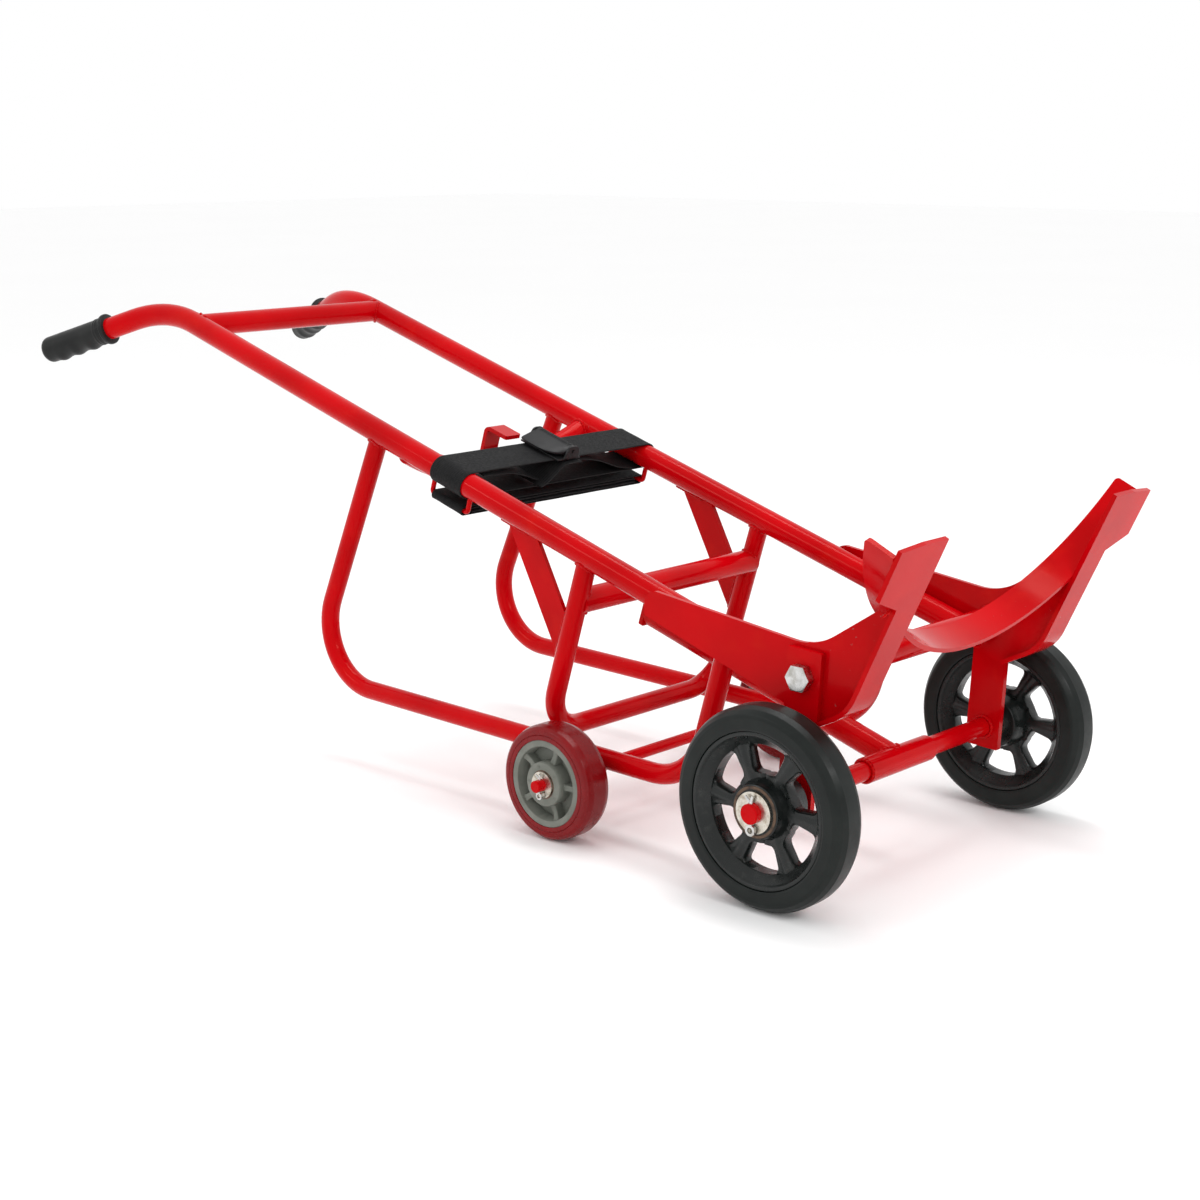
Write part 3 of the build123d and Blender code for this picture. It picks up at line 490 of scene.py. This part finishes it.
# ---------------------------------------------------------------- front wheels
def opening_half(radius, inner, outer, half, corner):
    """Half angle of the opening between two spokes at a radius, with rounded corners."""
    depth = min(radius - inner, outer - radius)
    if depth <= 0:
        return 0.0
    cut = corner - sqrt(corner ** 2 - (corner - depth) ** 2) if depth < corner else 0.0
    return max(0.0, half - cut / radius)


def spokes(name, centre, side, slot, count, y, radii, window, thickness, crown, bend):
    """Cast web: each spoke is a ridge between two openings, thick in the middle and thin at its edges."""
    inner, outer, half, corner = window
    sector = pi / count
    verts, faces = [], []
    across, steps = 12, 26
    for k in range(count):
        base = len(verts)
        for i in range(steps + 1):
            r = radii[0] + (radii[1] - radii[0]) * i / steps
            reach = sector - opening_half(r, inner, outer, half, corner)
            swing = bend * (r - radii[0]) / (radii[1] - radii[0])
            ring = []
            for face in (1, -1):
                for j in range(across + 1):
                    t = -1 + 2 * j / across
                    if face < 0:
                        t = -t
                    angle = (2 * k + 1) * sector + t * reach + swing
                    edge = min(1.0, (1 - abs(t)) * 9)
                    lift = thickness * (0.72 + 0.28 * sqrt(edge * (2 - edge)))
                    lift += crown * exp(-(t * r * reach / 5.5) ** 2)
                    lift += 0.8 * exp(-((abs(t) - 0.84) * r * reach / 2.8) ** 2)
                    ring.append(Vector((centre.x + r * MM * sin(angle),
                                        SIDES[side] * (y + face * lift) * MM,
                                        centre.z + r * MM * cos(angle))))
            verts += ring
        width = 2 * (across + 1)
        for i in range(steps):
            for j in range(width):
                a, b = base + i * width + j, base + i * width + (j + 1) % width
                quad = (a, b, b + width, a + width)
                faces.append(quad if SIDES[side] > 0 else quad[::-1])
        inner_cap = tuple(base + j for j in range(width))
        outer_cap = tuple(base + steps * width + j for j in range(width))
        faces += [inner_cap[::-1], outer_cap] if SIDES[side] > 0 else [inner_cap, outer_cap[::-1]]
    return piece(f"{name}_{side}", verts, faces, f"front_wheel_{side}", slot, sharp=50)


def out_to(y, outline):
    """Outline of (distance from a wheel's middle plane, radius), moved out to that plane."""
    return [(y + across, r) for across, r in outline]


FRONT_Y = 262.0
TYRE = out_to(FRONT_Y, [(-24.2, 96.5), (24.2, 96.5), (25, 99), (25, 112), (23.6, 116.5), (18, 121.6),
                        (12.4, 124.2), (10.8, 125), (-10.8, 125), (-12.4, 124.2), (-18, 121.6),
                        (-23.6, 116.5), (-25, 112), (-25, 99)])
TYRE_CORNERS = [0.8, 0.8, 1, 3, 4, 5, 0.6, 0.6, 0.6, 0.6, 5, 4, 3, 1]
RIM = out_to(FRONT_Y, [(-23.5, 96.5), (-23.5, 91.5), (-20, 89), (-9, 78.5), (9, 78.5), (20, 89),
                       (23.5, 91.5), (23.5, 96.5)])
BOSS = [(228, 19), (287, 19), (287, 31), (285.8, 33.2), (278, 34.5), (270, 38), (255, 38), (240, 35),
        (228, 33.5)]
BOSS_CORNERS = [0.5, 0.5, 0.8, 1, 3, 4, 4, 3, 1]
BOSS_EDGE = [(286.6, 27.5), (287.6, 28), (287.6, 31.2), (286.4, 32)]
OPENING = (43.5, 79, radians(20), 9)      # inner and outer radius, half angle, corner radius
for side in SIDES:
    body = f"front_wheel_{side}"
    lathe("tyre", rounded(TYRE, TYRE_CORNERS, 4), FRONT, side, body, "tyre", 128, sharp=30,
          replaces=[f"front_tyre_{side}"])
    lathe("front_rim", rounded(RIM, 2.2, 4), FRONT, side, body, "cast_centre", 112,
          replaces=[f"front_hub_{side}"])
    lathe("front_boss", rounded(BOSS, BOSS_CORNERS, 4), FRONT, side, body, "cast_centre", 80)
    spokes("front_spokes", FRONT, side, "cast_centre", count=6, y=FRONT_Y, radii=(34, 82), window=OPENING,
           thickness=7.5, crown=3.0, bend=radians(3))
    lathe("front_boss_edge", rounded(BOSS_EDGE, 0.3, 2), FRONT, side, body, "bearing", 72)

# ---------------------------------------------------------------- rear wheels
REAR_Y = 244.0
TREAD = out_to(REAR_Y, [(-22.5, 58), (22.5, 58), (22.5, 63.5), (21.2, 64.4), (22.3, 65.4), (21.6, 71),
                        (18.5, 74.6), (11, 77), (-11, 77), (-18.5, 74.6), (-21.6, 71), (-22.3, 65.4),
                        (-21.2, 64.4), (-22.5, 63.5)])
TREAD_CORNERS = [0.5, 0.5, 0.5, 0.4, 0.8, 3, 2.5, 5, 5, 2.5, 3, 0.8, 0.4, 0.5]
REAR_RIM = out_to(REAR_Y, [(-21.8, 58), (-21.8, 49.5), (-6, 47.2), (6, 47.2), (21.8, 49.5), (21.8, 58)])
REAR_BOSS = [(219, 8.1), (269, 8.1), (269, 29), (266, 29.8), (222, 29.8), (219, 29)]
REAR_WEB = out_to(REAR_Y, [(-4, 28), (4, 28), (2.5, 49), (-2.5, 49)])
REAR_BUSH = [(218.9, 8.1), (269.15, 8.1), (269.15, 19), (268.6, 19.6), (219.4, 19.6)]
REAR_SPOKE = ((27, 5.0, 17.5), (31, 4.2, 17), (39, 3.8, 15.5), (46, 4.2, 16.5), (50, 5.2, 18))
for side in SIDES:
    body = f"rear_wheel_{side}"
    lathe("tread", rounded(TREAD, TREAD_CORNERS, 4), REAR, side, body, "tread", 112, sharp=30,
          replaces=[f"rear_tread_{side}"])
    lathe("rear_rim", rounded(REAR_RIM, 1.0, 3), REAR, side, body, "rear_centre", 96,
          replaces=[f"rear_hub_{side}"])
    lathe("rear_boss", rounded(REAR_BOSS, 0.9, 3), REAR, side, body, "rear_centre", 72)
    lathe("rear_web", rounded(REAR_WEB, 0.5, 2), REAR, side, body, "rear_centre", 72)
    lathe("rear_bush", rounded(REAR_BUSH, 0.3, 2), REAR, side, body, "bearing", 56)
    for spoke in range(5):
        angle = radians(18 + 72 * spoke)
        radial = Vector((sin(angle), 0, cos(angle)))
        across = Vector((cos(angle), 0, -sin(angle)))
        rings = []
        for r, half, reach in REAR_SPOKE:
            outline = rounded([(-half, -reach), (half, -reach), (half, reach), (-half, reach)], 1.2, 3)
            rings.append([REAR + radial * r * MM + across * p.x * MM
                          + Vector((0, (SIDES[side] * REAR_Y + p.y) * MM - REAR.y, 0)) for p in outline])
        verts, faces = loft(rings)
        piece(f"rear_spoke_{side}_{spoke}", verts, [f[::-1] for f in faces], body, "rear_centre", sharp=50)
        dimple = REAR + (radial * cos(radians(36)) + across * sin(radians(36))) * 24.6 * MM
        dimple.y = SIDES[side] * 269.0 * MM
        ring = [dimple + (radial * cos(a) + across * sin(a)) * 1.6 * MM
                for a in (pi * k / 6 for k in range(12))]
        tube(f"rear_pip_{side}_{spoke}", ring, 0.45, body, "rear_centre", 6, closed=True)


# ---------------------------------------------------------------- grips
GRIP_SLOPE, GRIP_FLARE = radians(19.3), radians(19.0)
HANDLE_CORNER = -1302                     # where the rail's and the handle's axes cross


def bump(x, centre, width):
    return exp(-((x - centre) / width) ** 2)


def grip_radius(along, under):
    """Grip's radius at a distance from the handle's corner; under is 1 below the handle and 0 above it."""
    radius = 20.4
    if along < 122.3:
        radius += 3.8 * max(0.0, 1 - ((along - 118.5) / 3.8) ** 4) ** 0.5
    radius += 0.9 * bump(along, 130, 1.2) + 0.9 * bump(along, 134.5, 1.2)
    if along > 232:
        radius *= sqrt(max(0.0009, 1 - ((along - 232) / 14.05) ** 2.4))
    ridges = sum(bump(along, place, 8.0) for place in (153, 183, 213))
    return radius + under * 2.8 * ridges


for side, sign in SIDES.items():
    corner = rail(HANDLE_CORNER, sign * RAIL_Y / MM)
    along_grip = Vector((-cos(GRIP_SLOPE) * cos(GRIP_FLARE), sign * sin(GRIP_FLARE),
                         -sin(GRIP_SLOPE) * cos(GRIP_FLARE)))
    across_grip = along_grip.cross(Vector((0, 0, 1))).normalized()
    up_grip = across_grip.cross(along_grip)
    rings = []
    places = [115 + 0.75 * k for k in range(10)] + [122.4 + 1.2 * k for k in range(14)]
    places += [140 + 2.0 * k for k in range(46)] + [232 + k for k in range(14)] + [245.6, 246]
    for along in places:
        ring = []
        for k in range(48):
            angle = 2 * pi * k / 48
            spoke = up_grip * cos(angle) + across_grip * sin(angle)
            radius = grip_radius(along, max(0.0, -cos(angle)) ** 1.3)
            ring.append(corner + (along_grip * along + spoke * radius) * MM)
        rings.append(ring)
    verts, faces = loft(rings)
    piece(f"hand_grip_{side}", verts, faces, "frame", "grip", sharp=60, replaces=[f"grip_{side}"])


# ---------------------------------------------------------------- webbing and buckle
def strap(name, path, along, width, thick, closed=False, wave=0.0, replaces=(), ragged=0.0):
    """Flat woven strap along a path of (left, up) points, from along to along + width on the rails."""
    corners = [(0, -thick / 2), (width, -thick / 2), (width, thick / 2), (0, thick / 2)]
    section = rounded(corners, thick * 0.45, 2)
    extra = [Vector((width * k / 9, thick / 2)) for k in range(8, 0, -1)]
    lower = [Vector((width * k / 9, -thick / 2)) for k in range(1, 9)]
    section = section[:3] + lower + section[3:9] + extra + section[9:]
    points = [Vector(p) for p in path]
    count = len(points)
    rings, uvs, run = [], [], 0.0
    for i, p in enumerate(points):
        before = points[i - 1] if i or closed else p
        after = points[(i + 1) % count] if i < count - 1 or closed else p
        run += (p - points[i - 1]).length if i else 0
        along_path = (after - before).normalized()
        normal = Vector((along_path.y, -along_path.x))
        ring = []
        for q in section:
            edge = 0.25 * cos(pi * (2 * q.x / width - 1)) ** 8
            shift = wave * sin(run / 23 + q.x / 31) + wave * 0.6 * sin(run / 9.5 + q.x / 17 + 2)
            pull = ragged * (sin(q.x * 0.9) + 0.6 * sin(q.x * 2.3 + 1)) if i == count - 1 else 0
            spot = p + normal * (q.y + edge + shift) + along_path * pull
            ring.append(rail(along + q.x, spot.x, spot.y))
            uvs.append((run * MM, q.x * MM))
        rings.append(ring)
    verts, faces = loft(rings, closed)
    return piece(name, verts, faces, "frame", "webbing", sharp=50, uvs=uvs, replaces=replaces)


def racetrack(radius, rise, spacing=4.0, steps=20):
    """Closed path round both sides: over the top to the right, round, back to the left, round."""
    half = RAIL_Y / MM
    flat = int(2 * half / spacing)
    bends = [pi * k / steps for k in range(1, steps)]
    top = [(half - 2 * half * k / flat, rise + radius) for k in range(flat + 1)]
    right = [(-half - radius * sin(bend), rise + radius * cos(bend)) for bend in bends]
    low = [(-half + 2 * half * k / flat, rise - radius) for k in range(flat + 1)]
    left = [(half + radius * sin(bend), rise - radius * cos(bend)) for bend in bends]
    return top + right + low + left


START = -669.0                            # the webbing's rear edge along the rails
strap("webbing_upper", racetrack(RAIL_R / MM + 1.25, 0), START + 0.4, 61.2, 2.0, closed=True, wave=0.12,
      replaces=["strap_upper"])
strap("webbing_lower", racetrack(5.9, -38), START + 0.5, 61, 1.9, closed=True, wave=0.10,
      replaces=["strap_lower"])
for layer, (rise, shift, reach) in enumerate(((-35.2, 1.6, 166), (-37.6, -1.2, 171), (-40.2, 2.4, 168))):
    flat = [(reach - 4 * k, rise) for k in range(int(reach / 2) + 1)]
    strap(f"webbing_layer_{layer}", flat, START + 0.6 + shift, 60.4, 1.9, wave=0.35)
tail = [(24 - 3 * k, 15.5) for k in range(9)]
tail += [(-3 - 48 * t, 15.5 - 29.6 * (t * t * (3 - 2 * t))) for t in (k / 16 for k in range(1, 17))]
strap("webbing_tail", tail, START + 13.2, 61.4, 1.8, wave=0.45, replaces=["strap_tail"], ragged=1.1)


def smooth_path(knots, steps=8):
    """Catmull-Rom curve through (left, up) knots."""
    knots = [Vector(k) for k in knots]
    knots = [knots[0] * 2 - knots[1]] + knots + [knots[-1] * 2 - knots[-2]]
    path = []
    for a, b, c, d in zip(knots, knots[1:], knots[2:], knots[3:]):
        for t in (k / steps for k in range(steps)):
            path.append((b * 2 + (c - a) * t + (a * 2 - b * 5 + c * 4 - d) * t ** 2
                         + (b * 3 - a - c * 3 + d) * t ** 3) / 2)
    return path + [knots[-2]]


# loose folds inside the upper loop
FOLD_RIGHT = [(-158, 12.5), (-130, 11.5), (-100, 8), (-72, 1), (-54, -6), (-45, -8)]
FOLD_LEFT = [(30, 14.2), (62, 9), (98, -2), (128, -11.5), (154, -15.4)]
strap("webbing_fold_right", smooth_path(FOLD_RIGHT), START + 3, 60.5, 1.8, wave=0.5)
strap("webbing_fold_left", smooth_path(FOLD_LEFT), START + 2, 60.5, 1.8, wave=0.5)


def along_rails(name, sections, body, slot, replaces=(), bevel=0.0, sharp=40):
    """Solid lofted along the rails through (place, outline of (left, up) points)."""
    rings = [[rail(place, p[0], p[1]) for p in outline] for place, outline in sections]
    verts, faces = loft(rings)
    return piece(name, verts, faces, body, slot, sharp=sharp, replaces=replaces, bevel=bevel)


SEAT = RAIL_R / MM + 2.55                 # the buckle's base lies on the webbing at this height
PIN = Vector((8.0, 30.3))
DRUM_R = 7.9
TONGUE_SLOPE = 0.17
BASE = rounded([(-22, SEAT), (24, SEAT), (24, SEAT + 2.5), (-22, SEAT + 2.5)], 0.6, 2)
along_rails("buckle_base", [(-676, BASE), (-600, BASE)], "frame", "buckle", ["buckle_frame"], 0.5 * MM)
EAR = rounded([(-9, SEAT), (21, SEAT), (PIN.x + 10, PIN.y + 8.2), (PIN.x - 10, PIN.y + 8.2)],
              [0.5, 0.5, 8.2, 8.2], 8)
for number, place in enumerate((-676, -603)):
    along_rails(f"buckle_ear_{number}", [(place, EAR), (place + 3, EAR)], "frame", "buckle", bevel=0.6 * MM)


def lever_section(reach):
    """Round drum with a flat tongue of a given reach to the right."""
    turns = [radians(-20 + 200 * k / 14) for k in range(15)]
    drum = [PIN + Vector((DRUM_R * sin(a), DRUM_R * cos(a))) for a in turns]
    tip = PIN + Vector((-reach, 1.5 - TONGUE_SLOPE * reach))
    tongue = [PIN + Vector((-6, -5.8)), tip + Vector((1.2, -2.3)), tip + Vector((-0.9, -0.8)),
              tip + Vector((-0.9, 1.0)), tip + Vector((1.4, 2.3))]
    return [(p.x, p.y) for p in drum + tongue]


sections = []
for k in range(25):
    t = k / 24
    place = -672.6 + 69.2 * t
    reach = 11 + 24 * (max(0.0, 1 - (abs(t - 0.36) / 0.64) ** 3.2)) ** 0.6
    sections.append((place, lever_section(reach)))
along_rails("cam_lever", sections, "buckle_lever_body", "buckle_lever", ["buckle_lever"], 0.7 * MM, 45)
for rib in range(5):
    angle = radians(-38 + 19 * rib)
    top = PIN + Vector((sin(angle), cos(angle))) * 7.95
    line = [rail(-668 + 4 * k, top.x, top.y) for k in range(16)]
    tube(f"lever_rib_{rib}", line, 0.75, "buckle_lever_body", "buckle_lever")

# ---------------------------------------------------------------- floor, lights, camera
bpy.ops.mesh.primitive_plane_add(size=40, location=(0, 0, -0.0006))
ground = bpy.context.object
ground.name = "studio_floor"
pale = Nodes("studio_floor")
pale.set(Roughness=0.9, Specular_IOR_Level=0.1)
pale.colour(pale.mix(pale.noise(0.8), (0.97, 0.97, 0.97), (0.99, 0.99, 0.99)))
ground.data.materials.append(pale.material)

scene = bpy.context.scene
scene.view_settings.view_transform = "Standard"
scene.view_settings.look = "None"
world = bpy.data.worlds.new("studio")
scene.world = world
world.use_nodes = True
world.node_tree.nodes["Background"].inputs["Color"].default_value = (1, 1, 1, 1)
world.node_tree.nodes["Background"].inputs["Strength"].default_value = 1.0


def softbox(name, place, target, size, power):
    light = bpy.data.lights.new(name, "AREA")
    light.shape = "RECTANGLE"
    light.size, light.size_y = size
    light.energy = power
    obj = bpy.data.objects.new(name, light)
    obj.location = place
    obj.rotation_euler = (Vector(target) - Vector(place)).to_track_quat("-Z", "Y").to_euler()
    scene.collection.objects.link(obj)


softbox("overhead", (0.2, 0.4, 3.2), (0.1, 0, 0.3), (2.2, 0.6), 26)
softbox("key", (3.2, -0.6, 2.2), (0.3, 0, 0.3), (1.0, 0.5), 22)
softbox("side", (-1.6, -3.2, 2.4), (-0.2, 0, 0.3), (1.2, 0.4), 12)

camera = bpy.data.cameras.new("camera")
camera.lens = 62.79
camera.sensor_width = 36
camera_object = bpy.data.objects.new("camera", camera)
camera_object.location = (2.08115, -2.12854, 0.90247)
camera_object.rotation_euler = Vector((-0.65874, 0.71979, -0.21900)).to_track_quat("-Z", "Y").to_euler()
scene.collection.objects.link(camera_object)
scene.camera = camera_object
